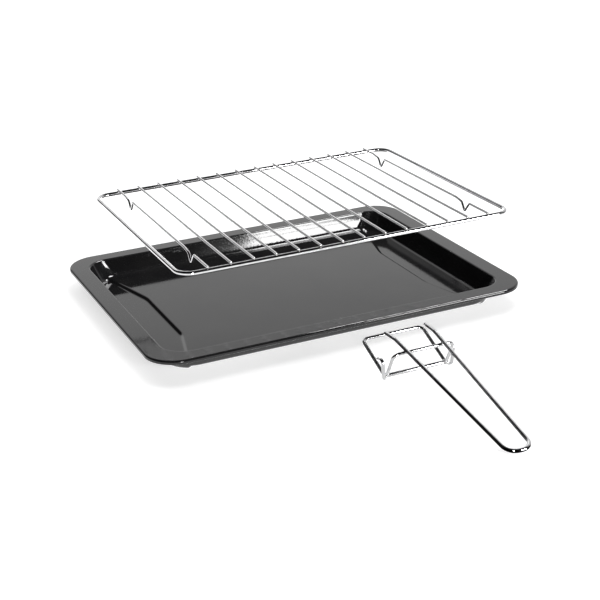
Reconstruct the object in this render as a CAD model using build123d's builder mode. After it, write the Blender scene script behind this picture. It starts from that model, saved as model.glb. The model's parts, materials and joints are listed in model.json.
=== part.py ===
"""Accessory set of a toaster oven: a pressed baking tray, a welded wire rack that drops into it,
and a welded wire handle that lifts the hot tray out.

Millimetres, +Z up. The set is laid out on a flat surface at z = 0: the tray stands at the back, the
rack is held above it on its way in or out, and the handle lies in front of it. The origin is the
middle of that layout, on the surface. +X runs along the tray's long edge, +Y away from the user.
"""
import os
from math import asin, atan2, cos, degrees, hypot, radians, sin, tan

from build123d import *

os.makedirs("parts", exist_ok=True)

# ---- driving dimensions: tray -------------------------------------------------------------------
TRAY_LENGTH = 404.0
TRAY_DEPTH = 322.0
TRAY_HEIGHT = 23.5
SHEET = 0.9
RIM_CORNER_RADIUS = 33.0
RIM_WIDTH_ENDS = 20.0
RIM_WIDTH_SIDES = 19.5
LIP_HEIGHT = 4.0
LIP_RADIUS = 2.0
MOUTH_CORNER_RADIUS = 23.0
BASE_CORNER_RADIUS = 29.0  # the corners widen towards the foot of the wall
WALL_LEAN = 6.0  # how far a wall leans in over the tray's height
FLOOR_RADIUS = 5.0
MOUTH_RADIUS = 2.0
PLATEAU_RISE = 2.6  # raised middle of the floor over the two end gutters
GUTTER_EDGE = 138.5  # middle stretch of a gutter's inner edge, from the centre
GUTTER_EDGE_HALF = 55.0  # half the length of that stretch
GUTTER_FLARE = 0.245  # the edge's slope towards the corners
GUTTER_STEP_RUN = 3.3  # plan width of the sloping step
GUTTER_BEND_RADIUS = 14.0
GUTTER_STEP_RADIUS = 1.5  # along the step's top and foot

# ---- driving dimensions: rack -------------------------------------------------------------------
FRAME_LENGTH = 345.0  # between wire centres
FRAME_DEPTH = 269.5
FRAME_CORNER_RADIUS = 15.0
FRAME_WIRE = 4.2
CROSS_WIRE = 2.4
CROSS_COUNT = 14
CROSS_PITCH = 22.5
CROSS_OVERHANG_BACK = 1.8  # wire end beyond the frame wire's centre line
CROSS_OVERHANG_FRONT = 0.6
FOOT_DROP = 10.6  # foot's lowest bend below the cross wire, between centres
FOOT_BACK_Y = 93.5
FOOT_FRONT_Y = -90.0
WIRE_END_RADIUS = 0.4
WELD_SINK = 0.25  # how far a welded wire is pressed into its neighbour

# ---- driving dimensions: handle -----------------------------------------------------------------
GRIP_WIRE = 4.0
LOOP_WIRE = 4.0
HOOK_WIRE = 3.4
HANDLE_X = 24.5  # middle of the handle, from the tray's centre
HANDLE_Y = -240.6  # front bar of the loop, from the tray's centre
LOOP_HALF_WIDTH = 32.0
LOOP_LENGTH = 49.4
LOOP_RISE = 19.4  # back bar above the front bar
LOOP_BACK_RADIUS = 6.0
LOOP_FRONT_RADIUS = 3.2
# places along the hook wire: half width, distance past the loop's front bar, height
HOOK_TIP = (36.2, -4.8, 18.4)
HOOK_KNEE = (37.3, 6.8, 22.0)
HOOK_SHANK_FOOT = (35.6, 5.3, HOOK_WIRE / 2)
HOOK_LEG_FOOT = (31.2, 1.4, HOOK_WIRE / 2)
HOOK_BAR_REACH = 17.4
HOOK_KNEE_RADIUS = 3.0
HOOK_TURN_RADIUS = 2.5
HOOK_BAR_RADIUS = 6.5
# places along the grip wire, given the same way
GRIP_TIP = (21.0, -18.1, 36.2)
GRIP_BEND = (20.2, 0.0, 36.4)
GRIP_END = (11.8, 181.0, GRIP_WIRE / 2)
GRIP_BEND_RADIUS = 9.0

# ---- driving dimensions: where the rack is held ------------------------------------------------
SEAT_GAP = 0.3  # left between the feet and the tray floor at the bottom of the travel
RACK_LIFT = Vector(-1.5, -35.5, 97.9)  # from seated to held above the tray

# ---- places worked out from the dimensions ------------------------------------------------------
tray_y = (GRIP_END[1] + GRIP_WIRE / 2 - HANDLE_Y - TRAY_DEPTH / 2) / 2  # puts the layout's middle at y = 0
mouth_length = TRAY_LENGTH - 2 * RIM_WIDTH_ENDS
mouth_depth = TRAY_DEPTH - 2 * RIM_WIDTH_SIDES
gutter_floor = SHEET
plateau_floor = SHEET + PLATEAU_RISE
step_angle = degrees(atan2(GUTTER_STEP_RUN, PLATEAU_RISE))  # from the vertical
step_offset = SHEET * tan(radians(90 - step_angle) / 2)
cross_above_frame = (FRAME_WIRE + CROSS_WIRE) / 2 - WELD_SINK
foot_below_frame = FOOT_DROP + CROSS_WIRE / 2 - cross_above_frame
rack_centre = Vector(0, tray_y, plateau_floor + SEAT_GAP + foot_below_frame) + RACK_LIFT
grip_slope = (GRIP_BEND[2] - GRIP_END[2]) / (GRIP_END[1] - GRIP_BEND[1])  # height lost per length
grip_over_bar = ((GRIP_WIRE + HOOK_WIRE) / 2 - WELD_SINK) * hypot(1, grip_slope)
hook_bar_height = GRIP_BEND[2] - grip_slope * (HOOK_BAR_REACH - GRIP_BEND[1]) - grip_over_bar
grip_turn_radius = GRIP_END[0] - 0.8


def save(part, node):
    """Label a finished piece and write its STEP file."""
    part.label = node
    export_step(part, f"parts/{node}.step")


def level(height):
    """Horizontal plane over the tray's centre."""
    return Plane(origin=(0, tray_y, height))


def round_wire(path, diameter):
    """Solid wire along a path that starts square to its first run."""
    with BuildPart() as wire:
        with BuildSketch(Plane(origin=path @ 0, z_dir=path % 0)):
            Circle(diameter / 2)
        sweep(path=path)
    return wire.part


# ---- tray ---------------------------------------------------------------------------------------
def basin(floor, grow):
    """Block that fills the basin down to a floor, grown on every side."""
    depth = (TRAY_HEIGHT - floor) / TRAY_HEIGHT
    widening = 2 * (grow - WALL_LEAN * depth)
    base_radius = MOUTH_CORNER_RADIUS + (BASE_CORNER_RADIUS - MOUTH_CORNER_RADIUS) * depth
    with BuildPart() as block:
        with BuildSketch(level(floor)):
            RectangleRounded(mouth_length + widening, mouth_depth + widening, base_radius + grow)
        with BuildSketch(level(TRAY_HEIGHT)):
            RectangleRounded(mouth_length + 2 * grow, mouth_depth + 2 * grow, MOUTH_CORNER_RADIUS + grow)
        loft()
        fillet(block.edges().group_by(Axis.Z)[0], radius=FLOOR_RADIUS + grow)
    return block.part


def gutter_zone(top, depth, grow):
    """Block over the right end of the floor, up to the plateau's flared edge, with a sloping side."""
    edge = GUTTER_EDGE - grow
    flare_x = edge + GUTTER_FLARE * (TRAY_DEPTH - GUTTER_EDGE_HALF)
    outline = [(edge, -GUTTER_EDGE_HALF), (edge, GUTTER_EDGE_HALF), (flare_x, TRAY_DEPTH),
               (TRAY_LENGTH, TRAY_DEPTH), (TRAY_LENGTH, -TRAY_DEPTH), (flare_x, -TRAY_DEPTH)]
    with BuildPart() as zone:
        with BuildSketch(level(top)) as plan:
            Polygon(*outline, align=None)
            fillet(plan.vertices().sort_by(Axis.X)[:2], radius=GUTTER_BEND_RADIUS)
        extrude(amount=FLOOR_RADIUS)
        extrude(plan.sketch, amount=-depth, taper=step_angle)
    return zone.part


def gutter(floor, grow, step_grow, side):
    """Deeper end of the basin, on one side of the tray, as a block grown on every side."""
    zone = gutter_zone(floor + PLATEAU_RISE, PLATEAU_RISE, step_grow)
    with BuildPart() as well:
        add(basin(floor, grow))
        add(zone if side > 0 else zone.mirror(Plane.YZ), mode=Mode.INTERSECT)
    return well.part


with BuildPart() as rim_hollow:
    with BuildSketch(level(TRAY_HEIGHT - LIP_HEIGHT)):
        RectangleRounded(TRAY_LENGTH - 2 * SHEET, TRAY_DEPTH - 2 * SHEET, RIM_CORNER_RADIUS - SHEET)
    extrude(amount=LIP_HEIGHT - SHEET)
    fillet(rim_hollow.faces().sort_by(Axis.Z)[-1].edges(), radius=LIP_RADIUS - SHEET)

with BuildPart() as tray:
    with BuildSketch(level(TRAY_HEIGHT - LIP_HEIGHT)):
        RectangleRounded(TRAY_LENGTH, TRAY_DEPTH, RIM_CORNER_RADIUS)
    extrude(amount=LIP_HEIGHT)
    fillet(tray.faces().sort_by(Axis.Z)[-1].edges(), radius=LIP_RADIUS)
    add(rim_hollow.part, mode=Mode.SUBTRACT)
    add(basin(plateau_floor - SHEET, SHEET))
    for side in (-1, 1):
        add(gutter(gutter_floor - SHEET, SHEET, step_offset, side))
    under_rim = tray.faces().filter_by(Plane.XY).filter_by_position(
        Axis.Z, TRAY_HEIGHT - SHEET - 0.01, TRAY_HEIGHT - SHEET + 0.01)
    fillet(under_rim[0].inner_wires()[0].edges(), radius=MOUTH_RADIUS - SHEET)
    add(basin(plateau_floor, 0), mode=Mode.SUBTRACT)
    for side in (-1, 1):
        add(gutter(gutter_floor, 0, 0, side), mode=Mode.SUBTRACT)
    for height in (plateau_floor, gutter_floor):
        floor_edges = tray.faces().filter_by(Plane.XY).filter_by_position(
            Axis.Z, height - 0.01, height + 0.01).edges()
        step_edges = floor_edges.filter_by(GeomType.LINE) + floor_edges.filter_by(GeomType.CIRCLE)
        fillet(step_edges, radius=GUTTER_STEP_RADIUS)
    rim_top = tray.faces().sort_by(Axis.Z)[-1]
    fillet(rim_top.inner_wires()[0].edges(), radius=MOUTH_RADIUS)
save(tray.part, "tray")

# ---- rack ---------------------------------------------------------------------------------------
half_length = FRAME_LENGTH / 2
half_depth = FRAME_DEPTH / 2
frame_plane = Plane(origin=rack_centre)
cross_plane = Plane(origin=rack_centre + Vector(0, 0, cross_above_frame))

with BuildLine(frame_plane) as frame_line:
    corners = [(0, -half_depth), (half_length, -half_depth), (half_length, half_depth),
               (-half_length, half_depth), (-half_length, -half_depth)]
    FilletPolyline(*corners, radius=[0] + [FRAME_CORNER_RADIUS] * 4, close=True)
rack_frame = round_wire(frame_line.wires()[0], FRAME_WIRE)
save(rack_frame, "rack_frame")

cross_start = -half_depth - CROSS_OVERHANG_FRONT
cross_end = half_depth + CROSS_OVERHANG_BACK
cross_x = [CROSS_PITCH * (i - (CROSS_COUNT - 1) / 2) for i in range(CROSS_COUNT)]
for number, x in enumerate(cross_x[1:-1], start=2):
    with BuildPart() as cross_wire:
        with BuildSketch(Plane(origin=cross_plane.from_local_coords((x, cross_start, 0)), z_dir=(0, 1, 0))):
            Circle(CROSS_WIRE / 2)
        extrude(amount=cross_end - cross_start)
        fillet(cross_wire.edges().filter_by(GeomType.CIRCLE), radius=WIRE_END_RADIUS)
    save(cross_wire.part, f"rack_cross_wire_{number:02d}")


def foot(y):
    """Corner points of one foot along a leg wire: slow bend down, steep drop, sharp rise."""
    return [(y - 9.5, 0), (y, -FOOT_DROP), (y + 5.5, -1.8), (y + 17, 0)]


FOOT_BENDS = [2.0, 1.9, 4.5, 14.0]
for name, x in (("rack_leg_wire_left", cross_x[0]), ("rack_leg_wire_right", cross_x[-1])):
    leg_plane = Plane(origin=cross_plane.from_local_coords((x, 0, 0)), x_dir=(0, 1, 0), z_dir=(1, 0, 0))
    with BuildLine(leg_plane) as leg_line:
        leg_points = [(cross_start, 0), *foot(FOOT_FRONT_Y), *foot(FOOT_BACK_Y), (cross_end, 0)]
        FilletPolyline(*leg_points, radius=FOOT_BENDS * 2)
    save(round_wire(leg_line.wires()[0], CROSS_WIRE), name)

# ---- handle -------------------------------------------------------------------------------------
def past_bar(x, reach, height):
    """Point at a distance past the loop's front bar, towards the user's hand."""
    return (HANDLE_X + x, tray_y + HANDLE_Y - reach, height)


loop_tilt = asin(LOOP_RISE / LOOP_LENGTH)
loop_normal = (0, -sin(loop_tilt), cos(loop_tilt))
loop_plane = Plane(origin=past_bar(0, 0, LOOP_WIRE / 2), x_dir=(1, 0, 0), z_dir=loop_normal)
with BuildLine(loop_plane) as loop_line:
    loop_points = [(0, 0), (LOOP_HALF_WIDTH, 0), (LOOP_HALF_WIDTH, LOOP_LENGTH),
                   (-LOOP_HALF_WIDTH, LOOP_LENGTH), (-LOOP_HALF_WIDTH, 0)]
    loop_radii = [0, LOOP_FRONT_RADIUS, LOOP_BACK_RADIUS, LOOP_BACK_RADIUS, LOOP_FRONT_RADIUS]
    FilletPolyline(*loop_points, radius=loop_radii, close=True)
save(round_wire(loop_line.wires()[0], LOOP_WIRE), "handle_base_loop")

# hook wire: a bar across under the grip, legs down to the loop's front corners, and a finger at each end
# that rises outside its leg and bends over towards the tray
hook_bar_corner = (HOOK_LEG_FOOT[0], HOOK_BAR_REACH, hook_bar_height)
with BuildLine() as hook_line:
    half_hook = [hook_bar_corner, HOOK_LEG_FOOT, HOOK_SHANK_FOOT, HOOK_KNEE, HOOK_TIP]
    hook_points = [past_bar(-x, y, z) for x, y, z in reversed(half_hook)]
    hook_points += [past_bar(*place) for place in half_hook]
    half_radii = [HOOK_BAR_RADIUS, HOOK_TURN_RADIUS, HOOK_TURN_RADIUS, HOOK_KNEE_RADIUS]
    FilletPolyline(*hook_points, radius=half_radii[::-1] + half_radii)
save(round_wire(hook_line.wires()[0], HOOK_WIRE), "handle_hook_wire")

# grip: one long wire from tip to tip, bent back on itself at the user's end
with BuildLine() as grip_line:
    half_grip = [GRIP_TIP, GRIP_BEND, GRIP_END]
    grip_points = [past_bar(-x, y, z) for x, y, z in half_grip]
    grip_points += [past_bar(*place) for place in reversed(half_grip)]
    grip_radii = [GRIP_BEND_RADIUS, grip_turn_radius, grip_turn_radius, GRIP_BEND_RADIUS]
    FilletPolyline(*grip_points, radius=grip_radii)
save(round_wire(grip_line.wires()[0], GRIP_WIRE), "handle_grip_wire")
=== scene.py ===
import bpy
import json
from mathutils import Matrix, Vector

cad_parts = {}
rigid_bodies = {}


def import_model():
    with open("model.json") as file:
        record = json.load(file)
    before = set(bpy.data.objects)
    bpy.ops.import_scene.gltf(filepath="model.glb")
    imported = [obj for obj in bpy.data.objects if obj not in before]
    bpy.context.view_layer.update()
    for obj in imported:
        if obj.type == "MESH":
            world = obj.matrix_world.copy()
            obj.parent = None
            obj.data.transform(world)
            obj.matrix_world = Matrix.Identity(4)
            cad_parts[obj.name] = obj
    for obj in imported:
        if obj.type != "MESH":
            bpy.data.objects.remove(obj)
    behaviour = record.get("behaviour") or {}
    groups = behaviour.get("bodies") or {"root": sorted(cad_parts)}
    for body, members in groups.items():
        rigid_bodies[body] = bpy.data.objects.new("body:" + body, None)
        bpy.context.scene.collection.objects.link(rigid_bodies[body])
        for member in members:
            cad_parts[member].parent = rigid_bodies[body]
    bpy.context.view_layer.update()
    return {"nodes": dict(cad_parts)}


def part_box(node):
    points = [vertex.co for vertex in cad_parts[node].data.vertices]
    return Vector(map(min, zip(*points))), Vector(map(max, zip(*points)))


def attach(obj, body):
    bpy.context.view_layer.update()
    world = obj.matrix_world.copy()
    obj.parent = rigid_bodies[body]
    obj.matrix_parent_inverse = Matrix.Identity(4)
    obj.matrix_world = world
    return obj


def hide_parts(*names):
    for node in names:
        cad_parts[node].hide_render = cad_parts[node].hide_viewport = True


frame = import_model()

import json
import math
import random

import bmesh
import bpy
from mathutils import Matrix, Vector
from mathutils.geometry import delaunay_2d_cdt

MM = 0.001

# ---- places read from the frame -----------------------------------------------------------------
tray_low, tray_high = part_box("tray")
tray_middle = (Vector(tray_low) + Vector(tray_high)) / 2
rim_half_x = (tray_high[0] - tray_low[0]) / 2
rim_half_y = (tray_high[1] - tray_low[1]) / 2
rim_top = tray_high[2]


# ---- small helpers ------------------------------------------------------------------------------
def new_object(name, data):
    """Object in the scene for a finished mesh, light or camera."""
    made = bpy.data.objects.new(name, data)
    bpy.context.scene.collection.objects.link(made)
    return made


def soft_ramp(t, blend):
    """Rises from 0 along t past 0, with a rounded start of the given half width."""
    if t <= -blend:
        return 0.0
    if t < blend:
        return (t + blend) ** 2 / (4 * blend)
    return t


def mix(low, high, share):
    """Value at a share of the way from low to high."""
    return low + (high - low) * share


# ---- camera -------------------------------------------------------------------------------------
CAMERA_YAW = math.radians(23.17)
CAMERA_PITCH = math.radians(21.90)
CAMERA_ROLL = math.radians(-2.64)
CAMERA_FROM_TRAY = Vector((-0.5309, -1.2732, 0.5458))
CAMERA_LENS = 82.9
CAMERA_SENSOR = 36


def make_camera():
    """Camera at the viewing angle, placed from the middle of the tray's resting face."""
    cos_pitch = math.cos(CAMERA_PITCH)
    level_ahead = Vector((math.sin(CAMERA_YAW), math.cos(CAMERA_YAW), 0))
    ahead = Vector((level_ahead.x * cos_pitch, level_ahead.y * cos_pitch, -math.sin(CAMERA_PITCH)))
    level_right = Vector((math.cos(CAMERA_YAW), -math.sin(CAMERA_YAW), 0))
    level_up = level_right.cross(ahead)
    right = level_right * math.cos(CAMERA_ROLL) + level_up * math.sin(CAMERA_ROLL)
    up = level_up * math.cos(CAMERA_ROLL) - level_right * math.sin(CAMERA_ROLL)
    data = bpy.data.cameras.new("camera")
    data.lens = CAMERA_LENS
    data.sensor_width = CAMERA_SENSOR
    camera = new_object("camera", data)
    place = Matrix((right, up, -ahead)).transposed().to_4x4()
    place.translation = Vector((tray_middle.x, tray_middle.y, 0)) + CAMERA_FROM_TRAY
    camera.matrix_world = place
    bpy.context.scene.camera = camera


# ---- materials ----------------------------------------------------------------------------------
class Nodes:
    """Short calls for building a node tree."""

    def __init__(self, name):
        self.material = bpy.data.materials.new(name)
        self.material.use_nodes = True
        self.tree = self.material.node_tree
        self.shader = self.tree.nodes["Principled BSDF"]

    def add(self, kind, **values):
        node = self.tree.nodes.new(kind)
        for key, value in values.items():
            if hasattr(node, key):
                setattr(node, key, value)
            else:
                node.inputs[key.replace("_", " ")].default_value = value
        return node

    def link(self, source, target):
        self.tree.links.new(source, target)

    def noise(self, scale, detail=2.0, roughness=0.5, stretch=(1, 1, 1)):
        """Noise over the object's own coordinates, in metres, so it doesn't slide when a body moves."""
        place = self.add("ShaderNodeTexCoord")
        mapping = self.add("ShaderNodeMapping")
        mapping.inputs["Scale"].default_value = stretch
        self.link(place.outputs["Object"], mapping.inputs["Vector"])
        noise = self.add("ShaderNodeTexNoise", Scale=scale, Detail=detail, Roughness=roughness)
        self.link(mapping.outputs["Vector"], noise.inputs["Vector"])
        return noise.outputs["Fac"]

    def span(self, source, low, high, out_low, out_high):
        """Maps a value's range to another and clamps it."""
        node = self.add("ShaderNodeMapRange")
        node.clamp = True
        for key, value in (("From Min", low), ("From Max", high), ("To Min", out_low), ("To Max", out_high)):
            node.inputs[key].default_value = value
        self.link(source, node.inputs["Value"])
        return node.outputs["Result"]

    def maths(self, operation, first, second):
        node = self.add("ShaderNodeMath", operation=operation)
        for socket, value in zip(node.inputs, (first, second)):
            if isinstance(value, (int, float)):
                socket.default_value = value
            else:
                self.link(value, socket)
        return node.outputs[0]

    def bump(self, height, distance, strength=1.0, below=None):
        node = self.add("ShaderNodeBump")
        node.inputs["Strength"].default_value = strength
        node.inputs["Distance"].default_value = distance
        self.link(height, node.inputs["Height"])
        if below is not None:
            self.link(below, node.inputs["Normal"])
        return node.outputs["Normal"]

    def colour(self, share, first, second):
        """Mix of two colours."""
        node = self.add("ShaderNodeMix", data_type="RGBA")
        self.link(share, node.inputs[0])
        node.inputs[6].default_value = (*first, 1)
        node.inputs[7].default_value = (*second, 1)
        return node.outputs[2]

    def blend(self, share, below, second):
        """Lays a colour over a coloured socket."""
        node = self.add("ShaderNodeMix", data_type="RGBA")
        self.link(share, node.inputs[0])
        self.link(below, node.inputs[6])
        node.inputs[7].default_value = (*second, 1)
        return node.outputs[2]


def enamel_material():
    """Black glass enamel: hard gloss, faint orange peel, fine pits, hairline scratches and worn edges."""
    n = Nodes("black_enamel")
    cloud = n.noise(22, detail=4)
    edge = n.add("ShaderNodeNewGeometry").outputs["Pointiness"]
    worn = n.maths("MULTIPLY", n.span(edge, 0.53, 0.60, 0, 1), n.span(n.noise(160), 0.48, 0.66, 0, 1))
    glaze = n.colour(n.span(cloud, 0.3, 0.7, 0, 1), (0.0060, 0.0060, 0.0066), (0.0105, 0.0103, 0.0104))
    n.link(n.blend(worn, glaze, (0.030, 0.030, 0.032)), n.shader.inputs["Base Color"])
    scratch = n.span(n.noise(900, detail=1, stretch=(1, 0.05, 1)), 0.66, 0.74, 0, 1)
    patch = n.span(n.noise(14, detail=3), 0.35, 0.75, 0.045, 0.10)
    n.link(n.maths("ADD", patch, n.maths("MULTIPLY", scratch, 0.06)), n.shader.inputs["Roughness"])
    peel = n.bump(n.noise(460, detail=2, roughness=0.5), 0.00003, 0.75)
    swell = n.bump(n.noise(45, detail=1), 0.00006, 0.12, peel)
    pits = n.bump(n.span(n.noise(1500, detail=0), 0.70, 0.80, 1, 0), 0.00001, 0.4, swell)
    n.link(pits, n.shader.inputs["Normal"])
    n.shader.inputs["IOR"].default_value = 1.52
    return n.material


def chrome_material(name, tint, roughness):
    """Bright chrome on drawn wire: faint haze in patches, tiny ripples and a fine grain."""
    n = Nodes(name)
    haze = n.noise(140, detail=3)
    dull = tuple(share * 0.82 for share in tint)
    n.link(n.colour(n.span(haze, 0.4, 0.72, 0, 1), tint, dull), n.shader.inputs["Base Color"])
    n.shader.inputs["Metallic"].default_value = 1.0
    n.link(n.span(haze, 0.3, 0.75, roughness, roughness * 2.4), n.shader.inputs["Roughness"])
    ripple = n.bump(n.noise(230, detail=2), 0.00002, 0.25)
    grain = n.bump(n.noise(2400, detail=1), 0.000004, 0.2, ripple)
    n.link(grain, n.shader.inputs["Normal"])
    return n.material


FLOOR_GLOW = 0.66


def floor_material():
    """Matte white sweep that glows, which keeps shadows faint, with a barely visible grain."""
    n = Nodes("white_sweep")
    grain = n.noise(35, detail=5)
    n.link(n.colour(n.span(grain, 0.3, 0.7, 0, 1), (0.90, 0.90, 0.90), (0.93, 0.93, 0.93)),
           n.shader.inputs["Base Color"])
    n.shader.inputs["Roughness"].default_value = 0.8
    n.shader.inputs["Specular IOR Level"].default_value = 0.1
    n.shader.inputs["Emission Color"].default_value = (1, 1, 1, 1)
    n.shader.inputs["Emission Strength"].default_value = FLOOR_GLOW
    return n.material


# ---- tray ---------------------------------------------------------------------------------------
SHEET = 0.9 * MM
MOUTH_HALF_X = rim_half_x - 20 * MM
MOUTH_HALF_Y = rim_half_y - 19.5 * MM
MOUTH_CORNER = 23 * MM
BASE_CORNER_GROWTH = 6 * MM
WALL_LEAN = 6 * MM
WALL_BOW = 0.35 * MM
FLOOR_WAVE = 0.05 * MM  # the pressed floor is never quite flat
FLOOR_ROUND = 5 * MM
MOUTH_ROUND = 2 * MM
LIP_ROUND = 2 * MM
LIP_HEIGHT = 4 * MM
RIM_CORNER = 33 * MM
PLATEAU_RISE = 2.6 * MM
STEP_EDGE = 138.5 * MM
STEP_STRAIGHT_HALF = 55 * MM
STEP_FLARE = 0.245
STEP_RUN = 3.3 * MM
STEP_BLEND = 0.17  # rounded share of the step at its top and foot
ARC_STEPS = 30
SIDE_STEPS = (18, 14)  # along the long and the short sides
FLOOR_ARC_STEPS = 8
WALL_STEPS = 9
MOUTH_ARC_STEPS = 7
LIP_ARC_STEPS = 7
HEM_ARC_STEPS = 6
UNDER_LIP_ARC_STEPS = 5
STEP_ROWS = 110  # rows of points across the floor's steps
FLOOR_GRID_HALF = 11
FLOOR_GRID_X = 11.3 * MM
FLOOR_GRID_Y = 11.6 * MM
lean_angle = math.atan2(WALL_LEAN, rim_top)


def step_edge(y):
    """Plateau's edge: straight in the middle, flaring out towards the corners."""
    return STEP_EDGE + STEP_FLARE * soft_ramp(abs(y) - STEP_STRAIGHT_HALF, 6 * MM)


def floor_height(x, y):
    """Inner face of the floor: raised middle, sloping steps with rounded edges, and the end gutters."""
    along = (abs(x) - step_edge(y)) / STEP_RUN
    drop = soft_ramp(along, STEP_BLEND) - soft_ramp(along - 1, STEP_BLEND)
    wave = FLOOR_WAVE * (1 + math.sin(x * 21 + 0.6) * math.cos(y * 24 - 0.4))
    return SHEET + PLATEAU_RISE * (1 - drop) + wave


def perimeter():
    """Places round a rounded rectangle: side signs, arc angle or share along a straight side."""
    places = []
    corners = ((1, 1, 0), (-1, 1, 90), (-1, -1, 180), (1, -1, 270))
    for number, (side_x, side_y, start) in enumerate(corners):
        for step in range(ARC_STEPS + 1):
            places.append(("arc", side_x, side_y, math.radians(start + 90 * step / ARC_STEPS)))
        count = SIDE_STEPS[number % 2]
        for step in range(1, count):
            share = 1 - 2 * step / count
            if number == 0:
                places.append(("straight", share, 1, 0))
            elif number == 1:
                places.append(("straight", -1, share, 0))
            elif number == 2:
                places.append(("straight", -share, -1, 0))
            else:
                places.append(("straight", 1, -share, 0))
    return places


def on_ring(place, half_x, half_y, corner):
    """Point of a place round a rounded rectangle of the given half sizes."""
    kind, a, b, angle = place
    if kind == "arc":
        x = a * (half_x - corner) + corner * math.cos(angle)
        y = b * (half_y - corner) + corner * math.sin(angle)
        return (x, y)
    if abs(b) == 1 and abs(a) < 1:
        return (a * (half_x - corner), b * half_y)
    return (a * half_x, b * (half_y - corner))


def wall_inset(z):
    """How far the wall's inner face lies inside the mouth at a height."""
    return WALL_LEAN * (1 - z / rim_top)


def wall_corner(z):
    """Corner radius of the wall's inner face at a height."""
    return MOUTH_CORNER + BASE_CORNER_GROWTH * (1 - z / rim_top)


def profile(floor_z, outer):
    """Section of the wall, floor to mouth: (offset from the mouth line, height, corner radius)."""
    skin = SHEET if outer else 0
    section = []
    centre_z = floor_z + FLOOR_ROUND
    centre_off = -wall_inset(centre_z) - FLOOR_ROUND / math.cos(lean_angle)
    radius = FLOOR_ROUND + skin
    for step in range(FLOOR_ARC_STEPS + 1):
        angle = mix(-math.pi / 2, -lean_angle, step / FLOOR_ARC_STEPS)
        off = centre_off + radius * math.cos(angle)
        z = centre_z + radius * math.sin(angle)
        section.append((off, z, wall_corner(z) + off + wall_inset(z)))
    mouth_z = rim_top - MOUTH_ROUND
    mouth_off = -wall_inset(mouth_z) + MOUTH_ROUND / math.cos(lean_angle)
    turn = MOUTH_ROUND - skin
    low_z, high_z = section[-1][1], mouth_z + turn * math.sin(lean_angle)
    for step in range(1, WALL_STEPS):
        share = step / WALL_STEPS
        z = mix(low_z, high_z, share)
        off = -wall_inset(z) + skin / math.cos(lean_angle) + WALL_BOW * math.sin(math.pi * share)
        section.append((off, z, wall_corner(z) + off + wall_inset(z)))
    for step in range(MOUTH_ARC_STEPS + 1):
        angle = mix(math.pi - lean_angle, math.pi / 2, step / MOUTH_ARC_STEPS)
        off = mouth_off + turn * math.cos(angle)
        z = mouth_z + turn * math.sin(angle)
        section.append((off, z, wall_corner(mouth_z) + off + wall_inset(mouth_z)))
    return section


def rim_rings(start_off, start_corner):
    """Rings over the flange, round the lip and back under it: (half x, half y, height, corner radius)."""
    rings = []
    flat_x, flat_y = rim_half_x - LIP_ROUND, rim_half_y - LIP_ROUND
    flat_corner = RIM_CORNER - LIP_ROUND
    start = (MOUTH_HALF_X + start_off, MOUTH_HALF_Y + start_off, start_corner)
    shares = (0.02, 0.12, 0.35, 0.65, 0.88, 0.98)
    for share in shares:
        rings.append((mix(start[0], flat_x, share), mix(start[1], flat_y, share), rim_top,
                      mix(start[2], flat_corner, share)))
    for step in range(LIP_ARC_STEPS + 1):
        angle = math.pi / 2 * step / LIP_ARC_STEPS
        reach, drop = LIP_ROUND * math.sin(angle), LIP_ROUND * (1 - math.cos(angle))
        rings.append((flat_x + reach, flat_y + reach, rim_top - drop, flat_corner + reach))
    low = rim_top - LIP_HEIGHT + SHEET / 2
    rings.append((rim_half_x, rim_half_y, low + 0.3 * MM, RIM_CORNER))
    for step in range(HEM_ARC_STEPS + 1):
        angle = math.pi * step / HEM_ARC_STEPS
        inside = SHEET / 2 * (1 - math.cos(angle))
        rings.append((rim_half_x - inside, rim_half_y - inside, low - SHEET / 2 * math.sin(angle),
                      RIM_CORNER - inside))
    under = rim_top - SHEET
    for step in range(UNDER_LIP_ARC_STEPS + 1):
        angle = math.pi / 2 * (1 - step / UNDER_LIP_ARC_STEPS)
        reach = (LIP_ROUND - SHEET) * math.sin(angle)
        drop = (LIP_ROUND - SHEET) * (1 - math.cos(angle))
        rings.append((flat_x + reach, flat_y + reach, under - drop, flat_corner + reach))
    for share in reversed(shares):
        rings.append((mix(start[0], flat_x, share), mix(start[1], flat_y, share), under,
                      mix(start[2], flat_corner, share)))
    return rings


def floor_triangles(boundary):
    """Triangulates the floor inside its boundary, with rows of points along both steps."""
    points = [Vector(p) for p in boundary]
    edges = [(i, (i + 1) % len(boundary)) for i in range(len(boundary))]
    half_x = max(p.x for p in points)
    half_y = max(p.y for p in points)
    corner = wall_corner(SHEET) - FLOOR_ROUND

    def inside(x, y, margin):
        over_x = max(0.0, abs(x) - (half_x - corner))
        over_y = max(0.0, abs(y) - (half_y - corner))
        if over_x > 0 and over_y > 0:
            return math.hypot(over_x, over_y) < corner - margin
        return abs(x) < half_x - margin and abs(y) < half_y - margin

    rows = [-half_y + (2 * half_y) * i / STEP_ROWS for i in range(1, STEP_ROWS)]
    offsets = (-6, -2.6, -1.5, -0.9, -0.45, 0, 0.45, 0.9, 1.65, 2.4, 2.85, 3.3, 3.75, 4.2, 4.8, 5.9, 9)
    for side in (-1, 1):
        for y in rows:
            for offset in offsets:
                x = side * (step_edge(y) + offset * MM)
                if inside(x, y, 0.9 * MM):
                    points.append(Vector((x, y)))
    grid = range(-FLOOR_GRID_HALF, FLOOR_GRID_HALF + 1)
    for column in grid:
        for row in grid:
            x, y = column * FLOOR_GRID_X, row * FLOOR_GRID_Y
            if abs(x) < step_edge(y) - 9 * MM and inside(x, y, 3 * MM):
                points.append(Vector((x, y)))
    found, _, faces, origins, _, _ = delaunay_2d_cdt(points, edges, [], 1, 1e-7)
    return found, faces, origins


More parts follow.
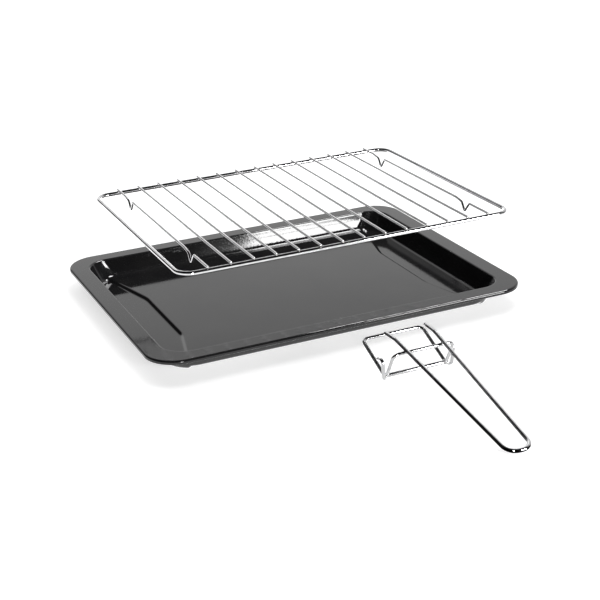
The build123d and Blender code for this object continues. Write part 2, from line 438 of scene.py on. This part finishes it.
def build_tray():
    """Whole sheet: inner floor, wall, flange and lip, then back along its underside to the outer floor."""
    places = perimeter()
    count = len(places)
    vertices, faces = [], []

    def add_ring(points):
        start = len(vertices)
        vertices.extend(points)
        return start

    def join(first, second):
        for i in range(count):
            j = (i + 1) % count
            faces.append((first + i, first + j, second + j, second + i))

    nominal = profile(SHEET + PLATEAU_RISE, False)
    floor_off = nominal[0][0]
    heights = []
    for place in places:
        x, y = on_ring(place, MOUTH_HALF_X + floor_off, MOUTH_HALF_Y + floor_off, nominal[0][2])
        heights.append(floor_height(x, y))

    def wall_rings(outer):
        sections = [profile(z, outer) for z in heights]
        rings = []
        for level in range(len(sections[0])):
            points = []
            for place, section in zip(places, sections):
                off, z, corner = section[level]
                x, y = on_ring(place, MOUTH_HALF_X + off, MOUTH_HALF_Y + off, corner)
                points.append((x, y, z))
            rings.append(points)
        return rings

    inner = wall_rings(False)
    starts = [add_ring(points) for points in inner]
    last_off, _, last_corner = profile(SHEET, False)[-1]
    for half_x, half_y, z, corner in rim_rings(last_off, last_corner):
        starts.append(add_ring([(*on_ring(place, half_x, half_y, corner), z) for place in places]))
    starts += [add_ring(points) for points in reversed(wall_rings(True))]
    for first, second in zip(starts, starts[1:]):
        join(first, second)

    boundary = [Vector(point[:2]) for point in inner[0]]
    found, triangles, origins = floor_triangles(boundary)
    for top, ring, drop in ((True, starts[0], 0.0), (False, starts[-1], SHEET)):
        index = []
        for point, origin in zip(found, origins):
            fixed = [o for o in origin if o < count]
            if fixed:
                index.append(ring + fixed[0])
            else:
                index.append(len(vertices))
                vertices.append((point.x, point.y, floor_height(point.x, point.y) - drop))
        for face in triangles:
            corners = [index[i] for i in face]
            faces.append(corners if top else corners[::-1])

    mesh = bpy.data.meshes.new("enamel_tray")
    mesh.from_pydata([(x + tray_middle.x, y + tray_middle.y, z) for x, y, z in vertices], [], faces)
    b = bmesh.new()
    b.from_mesh(mesh)
    bmesh.ops.dissolve_degenerate(b, dist=1e-7, edges=b.edges)
    bmesh.ops.recalc_face_normals(b, faces=b.faces)
    b.to_mesh(mesh)
    b.free()
    mesh.shade_smooth()
    tray = new_object("enamel_tray", mesh)
    weights = tray.modifiers.new("face_weighted_normals", "WEIGHTED_NORMAL")
    weights.weight = 90
    weights.mode = "FACE_AREA_WITH_ANGLE"
    tray.data.materials.append(enamel_material())
    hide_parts("tray")
    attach(tray, "tray")


# ---- welds --------------------------------------------------------------------------------------
def weld_bead(mesh_data, middle, radii, seed):
    """Adds one lumpy bead, like metal squeezed out of a spot weld, to lists of vertices and faces."""
    vertices, faces = mesh_data
    start = len(vertices)
    rows, columns = 9, 16
    wobble = random.Random(seed)
    phases = [wobble.uniform(0, 2 * math.pi) for _ in range(3)]
    for row in range(rows + 1):
        rise = math.pi * row / rows
        for column in range(columns):
            turn = 2 * math.pi * column / columns
            lump = 1 + 0.07 * math.sin(2 * turn + phases[0]) + 0.05 * math.sin(3 * turn + phases[1] + rise)
            lump += 0.04 * math.sin(5 * rise + phases[2])
            vertices.append((middle[0] + radii[0] * lump * math.sin(rise) * math.cos(turn),
                             middle[1] + radii[1] * lump * math.sin(rise) * math.sin(turn),
                             middle[2] + radii[2] * math.cos(rise)))
    for row in range(rows):
        for column in range(columns):
            beside = (column + 1) % columns
            low, high = start + row * columns, start + (row + 1) * columns
            faces.append((low + column, high + column, high + beside, low + beside))


def finish_beads(name, mesh_data, body, material):
    """Makes one object of all beads on a body and lets it ride there."""
    vertices, faces = mesh_data
    mesh = bpy.data.meshes.new(name)
    mesh.from_pydata(vertices, [], faces)
    b = bmesh.new()
    b.from_mesh(mesh)
    bmesh.ops.remove_doubles(b, verts=b.verts, dist=1e-7)
    bmesh.ops.recalc_face_normals(b, faces=b.faces)
    b.to_mesh(mesh)
    b.free()
    mesh.shade_smooth()
    beads = new_object(name, mesh)
    mesh.materials.append(material)
    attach(beads, body)


def weld_material(name, tint):
    """Chrome over a spot weld: duller than the wire, with a heat-tinted, pitted skin."""
    n = Nodes(name)
    spots = n.noise(900, detail=3)
    scorched = tuple(share * warm for share, warm in zip(tint, (0.62, 0.57, 0.52)))
    n.link(n.colour(n.span(spots, 0.4, 0.7, 0, 1), tint, scorched), n.shader.inputs["Base Color"])
    n.shader.inputs["Metallic"].default_value = 1.0
    n.link(n.span(spots, 0.3, 0.7, 0.12, 0.32), n.shader.inputs["Roughness"])
    n.link(n.bump(n.noise(1400, detail=2), 0.00004, 0.5), n.shader.inputs["Normal"])
    return n.material


HOOK_WIRE = 3.4 * MM
GRIP_OVER_BAR = 19.4 * MM
HOOK_OVER_LOOP = 31.6 * MM


def build_welds():
    """Beads under every cross wire on both long rails, and where the handle's wires meet."""
    frame_low, frame_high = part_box("rack_frame")
    rail_radius = (frame_high[2] - frame_low[2]) / 2
    rails = (frame_low[1] + rail_radius, frame_high[1] - rail_radius)
    beads = ([], [])
    wires = [name for name in frame["nodes"] if name.startswith(("rack_cross", "rack_leg"))]
    for number, name in enumerate(sorted(wires)):
        low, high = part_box(name)
        for side, rail in enumerate(rails):
            middle = ((low[0] + high[0]) / 2, rail, frame_high[2] - 0.15 * MM)
            weld_bead(beads, middle, (1.75 * MM, 1.35 * MM, 0.55 * MM), number * 2 + side)
    metal = weld_material("rack_weld_metal", (0.66, 0.66, 0.66))
    finish_beads("rack_welds", beads, "rack", metal)

    beads = ([], [])
    hook_low, hook_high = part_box("handle_hook_wire")
    loop_low, loop_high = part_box("handle_base_loop")
    middle_x = (loop_low[0] + loop_high[0]) / 2
    bar_y = hook_low[1] + HOOK_WIRE / 2
    bar_top = hook_high[2]
    for side in (-1, 1):
        weld_bead(beads, (middle_x + side * GRIP_OVER_BAR, bar_y, bar_top - 0.1 * MM),
                  (1.8 * MM, 1.9 * MM, 0.6 * MM), 40 + side)
        weld_bead(beads, (middle_x + side * HOOK_OVER_LOOP, loop_low[1] + 0.2 * MM, 2.0 * MM),
                  (1.9 * MM, 0.9 * MM, 1.4 * MM), 50 + side)
    metal = weld_material("handle_weld_metal", (0.64, 0.64, 0.64))
    finish_beads("handle_welds", beads, "handle", metal)


# ---- lights and surroundings --------------------------------------------------------------------
FLOOR_HALF_WIDTH = 8
FLOOR_FRONT = -5
FLOOR_BACK = 12


def area_light(name, place, target, width, height, power, mirrored):
    """Softbox; only a mirrored one shows in glossy surfaces."""
    data = bpy.data.lights.new(name, "AREA")
    data.shape = "RECTANGLE"
    data.size, data.size_y = width, height
    data.energy = power
    light = new_object(name, data)
    light.location = place
    light.rotation_mode = "QUATERNION"
    light.rotation_quaternion = (Vector(target) - Vector(place)).to_track_quat("-Z", "Y")
    light.visible_camera = False
    light.visible_glossy = mirrored
    return light


def ground_plane(name, height):
    """Flat sheet as large as the floor."""
    corners = [(-FLOOR_HALF_WIDTH, FLOOR_FRONT, height), (FLOOR_HALF_WIDTH, FLOOR_FRONT, height),
               (FLOOR_HALF_WIDTH, FLOOR_BACK, height), (-FLOOR_HALF_WIDTH, FLOOR_BACK, height)]
    mesh = bpy.data.meshes.new(name)
    mesh.from_pydata(corners, [], [(0, 1, 2, 3)])
    made = new_object(name, mesh)
    return made


def mirrored_only_in(emitter, names):
    """Lets only the named pieces mirror or receive an emitter's light."""
    group = bpy.data.collections.new(emitter.name + "_receivers")
    for name in names:
        group.objects.link(bpy.data.objects[name] if name in bpy.data.objects else frame["nodes"][name])
    emitter.light_linking.receiver_collection = group


def mirrored_ground(name, height, brightness, receivers):
    """Bright plane under the floor, mirrored only in the named pieces.

    It is see-through as well as bright, so that one such plane doesn't hide the next from its pieces."""
    ground = ground_plane(name, height)
    glow = bpy.data.materials.new(name)
    glow.use_nodes = True
    nodes, links = glow.node_tree.nodes, glow.node_tree.links
    nodes.remove(nodes["Principled BSDF"])
    emission = nodes.new("ShaderNodeEmission")
    emission.inputs["Strength"].default_value = brightness
    both = nodes.new("ShaderNodeAddShader")
    links.new(emission.outputs[0], both.inputs[0])
    links.new(nodes.new("ShaderNodeBsdfTransparent").outputs[0], both.inputs[1])
    links.new(both.outputs[0], nodes["Material Output"].inputs["Surface"])
    ground.data.materials.append(glow)
    ground.visible_camera = False
    ground.visible_diffuse = False
    ground.visible_shadow = False
    ground.visible_transmission = False
    mirrored_only_in(ground, receivers)


def build_floor():
    """White sweep that isn't mirrored, and what the tray, rack, loop and hook mirror in its place.

    The grip wire mirrors neither plane, only the sky behind them."""
    floor = ground_plane("floor", 0)
    floor.data.materials.append(floor_material())
    floor.visible_glossy = False
    rack = [name for name in frame["nodes"] if name.startswith("rack")]
    mirrored_ground("ground_for_tray_and_rack", -1 * MM, 1.1, rack + ["enamel_tray"])
    mirrored_ground("ground_for_handle", -2 * MM, 0.75, ["handle_base_loop", "handle_hook_wire"])


# Brightness of the mirrored sky, as (place, brightness) stops
SKY_FROM_LEFT = [(-0.02, 0.01), (0.05, 1.0), (0.75, 0.92), (1.15, 0.55)]
SKY_FROM_FRONT = [(0.0, 0.02), (0.25, 1.0)]
SKY_BY_HEIGHT = [(0, 1.10), (0.30, 1.0), (0.41, 0.80), (0.64, 0.74), (0.80, 0.04)]  # sine of the height


def build_world():
    """Sky that is dark on the left, in front and overhead in mirror images, and white to the camera."""
    world = bpy.data.worlds.new("studio")
    bpy.context.scene.world = world
    world.use_nodes = True
    tree = world.node_tree
    background = tree.nodes["Background"]
    place = tree.nodes.new("ShaderNodeTexCoord")
    parts = tree.nodes.new("ShaderNodeSeparateXYZ")
    tree.links.new(place.outputs["Generated"], parts.inputs[0])

    def maths(operation, *values):
        node = tree.nodes.new("ShaderNodeMath")
        node.operation = operation
        for socket, value in zip(node.inputs, values):
            if isinstance(value, (int, float)):
                socket.default_value = value
            else:
                tree.links.new(value, socket)
        return node.outputs[0]

    def ramp(source, low, high, stops):
        """Smooth curve through (value, brightness) stops over a range."""
        node = tree.nodes.new("ShaderNodeValToRGB")
        tree.links.new(maths("DIVIDE", maths("SUBTRACT", source, low), high - low), node.inputs[0])
        node.color_ramp.interpolation = "EASE"
        while len(node.color_ramp.elements) < len(stops):
            node.color_ramp.elements.new(0.5)
        for element, (at, value) in zip(node.color_ramp.elements, stops):
            element.position = (at - low) / (high - low)
            element.color = (value, value, value, 1)
        return node.outputs[0]

    side, ahead, up = parts.outputs["X"], parts.outputs["Y"], parts.outputs["Z"]
    overhead = maths("MULTIPLY", maths("MAXIMUM", maths("SUBTRACT", up, 0.45), 0), 0.5)
    from_left = maths("ADD", maths("MULTIPLY_ADD", ahead, 0.25, side), overhead)
    from_front = maths("MULTIPLY_ADD", up, 0.4, ahead)
    sky = maths("MULTIPLY", ramp(from_left, -2, 2, SKY_FROM_LEFT), ramp(from_front, -2, 2, SKY_FROM_FRONT))
    sky = maths("MULTIPLY", sky, ramp(up, -1, 1, SKY_BY_HEIGHT))
    path = tree.nodes.new("ShaderNodeLightPath")
    tree.links.new(maths("MAXIMUM", sky, path.outputs["Is Camera Ray"]), background.inputs["Color"])
    background.inputs["Strength"].default_value = 1.0


FRONT_RADIANCE = 20
FRONT_DISTANCE = 1.25
FRONT_PANELS = (("front_dim", 0.47, 0.10, 0.03), ("front_bright", 0.71, 0.36, 1.25))  # x, width, share
FRONT_BANDS = (("low", 0.095, 0.18), ("high", 0.31, 0.22))  # height, depth


def build_lights():
    """Soft light from above, panels for the back wall's mirror image, and one softbox each for two pieces."""
    middle = Vector((tray_middle.x, tray_middle.y, 0))
    area_light("overhead", middle + Vector((0.5, 0.3, 1.9)), middle, 1.2, 1.0, 12, False)
    area_light("far_floor", middle + Vector((0, 3.2, 3.0)), middle + Vector((0, 3.4, 0)), 4, 3, 70, False)
    high_right = area_light("high_right", middle + Vector((1.05, 0.0, 1.7)), middle, 0.8, 0.8, 45, True)
    mirrored_only_in(high_right, ["enamel_tray"])
    panel = middle + Vector((0, 0.14, 0.02))
    for name, x, width, share in FRONT_PANELS:
        for part, height, depth in FRONT_BANDS:
            power = FRONT_RADIANCE * math.pi * width * depth * share
            place = middle + Vector((x, -FRONT_DISTANCE, height))
            area_light(f"{name}_{part}", place, panel, width, depth, power, True)
    strip_place = middle + Vector((-0.30, -FRONT_DISTANCE, 0.2))
    area_light("front_left_strip", strip_place, panel, 0.15, 0.36, 4.5, True)
    grip_low, grip_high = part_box("handle_grip_wire")
    grip = (Vector(grip_low) + Vector(grip_high)) / 2
    grip_sky = area_light("grip_sky", grip + Vector((0.48, 1.0, 1.15)), grip, 1.1, 0.9, 1.7, True)
    mirrored_only_in(grip_sky, ["handle_grip_wire"])


def show_chrome():
    """Chrome on every CAD wire."""
    rack_chrome = chrome_material("rack_chrome", (0.82, 0.82, 0.83), 0.035)
    handle_chrome = chrome_material("handle_chrome", (0.84, 0.84, 0.85), 0.03)
    for name, node in frame["nodes"].items():
        if name != "tray":
            node.data.materials.clear()
            node.data.materials.append(handle_chrome if name.startswith("handle") else rack_chrome)


make_camera()
build_tray()
build_welds()
show_chrome()
build_floor()
build_world()
build_lights()
bpy.context.scene.view_settings.view_transform = "Standard"
